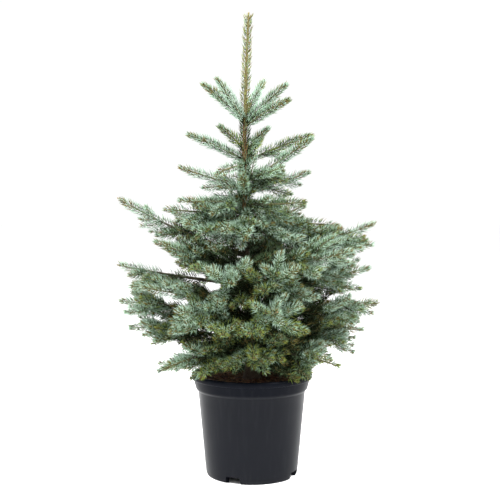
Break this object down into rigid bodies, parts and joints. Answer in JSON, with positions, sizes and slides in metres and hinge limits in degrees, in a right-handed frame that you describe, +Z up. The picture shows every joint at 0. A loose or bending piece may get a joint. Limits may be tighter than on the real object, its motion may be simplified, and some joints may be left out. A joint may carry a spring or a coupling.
{
  "type": "potted blue spruce",
  "caption": "Young conical spruce with whorled boughs and blue-green needles, rooted in compost in a round tapering nursery pot with a banded rim and notched foot.",
  "frame": {"origin": "centre of the pot's flat underside", "axes": "+Z up the trunk, from the pot's underside to the leader's tip"},
  "size_m": [0.6077, 0.5274, 1.062],
  "materials": {
    "pot": "satin black moulded polypropylene",
    "compost": "loose moist bark compost",
    "bark": "thin scaly young bark",
    "needles": "waxy blue-green needles"
  },
  "bodies": {
    "root": {"pot": "pot", "compost": "compost", "trunk": "bark", "leader_needles": "needles", "upper_stem_needles": "needles", "fifth_whorl_1_bough": "bark", "fifth_whorl_2_bough": "bark", "fifth_whorl_5_bough": "bark", "sixth_whorl_1_bough": "bark", "sixth_whorl_2_bough": "bark", "seventh_whorl_1_bough": "bark", "seventh_whorl_2_bough": "bark", "seventh_whorl_5_bough": "bark", "lowest_whorl_1_bough": "bark", "crown_whorl_1_needles": "needles", "crown_whorl_2_needles": "needles", "crown_whorl_3_needles": "needles", "crown_whorl_4_needles": "needles", "crown_whorl_5_needles": "needles", "crown_side_1_needles": "needles", "crown_side_2_needles": "needles", "second_whorl_1_needles": "needles", "second_whorl_2_needles": "needles", "second_whorl_3_needles": "needles", "second_whorl_4_needles": "needles", "third_whorl_1_needles": "needles", "third_whorl_2_needles": "needles", "third_whorl_3_needles": "needles", "third_whorl_4_needles": "needles", "third_whorl_5_needles": "needles", "third_whorl_6_needles": "needles", "third_whorl_7_needles": "needles", "fourth_whorl_1_needles": "needles", "fourth_whorl_2_needles": "needles", "fourth_whorl_3_needles": "needles", "fourth_whorl_4_needles": "needles", "fourth_whorl_5_needles": "needles", "fifth_whorl_1_needles": "needles", "fifth_whorl_2_needles": "needles", "fifth_whorl_3_needles": "needles", "fifth_whorl_4_needles": "needles", "fifth_whorl_5_needles": "needles", "sixth_whorl_1_needles": "needles", "sixth_whorl_2_needles": "needles", "sixth_whorl_3_needles": "needles", "sixth_whorl_4_needles": "needles", "sixth_whorl_5_needles": "needles", "sixth_whorl_6_needles": "needles", "seventh_whorl_1_needles": "needles", "seventh_whorl_2_needles": "needles", "seventh_whorl_3_needles": "needles", "seventh_whorl_4_needles": "needles", "seventh_whorl_5_needles": "needles", "lowest_whorl_1_needles": "needles", "lowest_whorl_2_needles": "needles", "lowest_whorl_3_needles": "needles", "lowest_whorl_4_needles": "needles", "lowest_whorl_5_needles": "needles", "lowest_whorl_6_needles": "needles", "lowest_whorl_7_needles": "needles"}
  },
  "joints": []
}
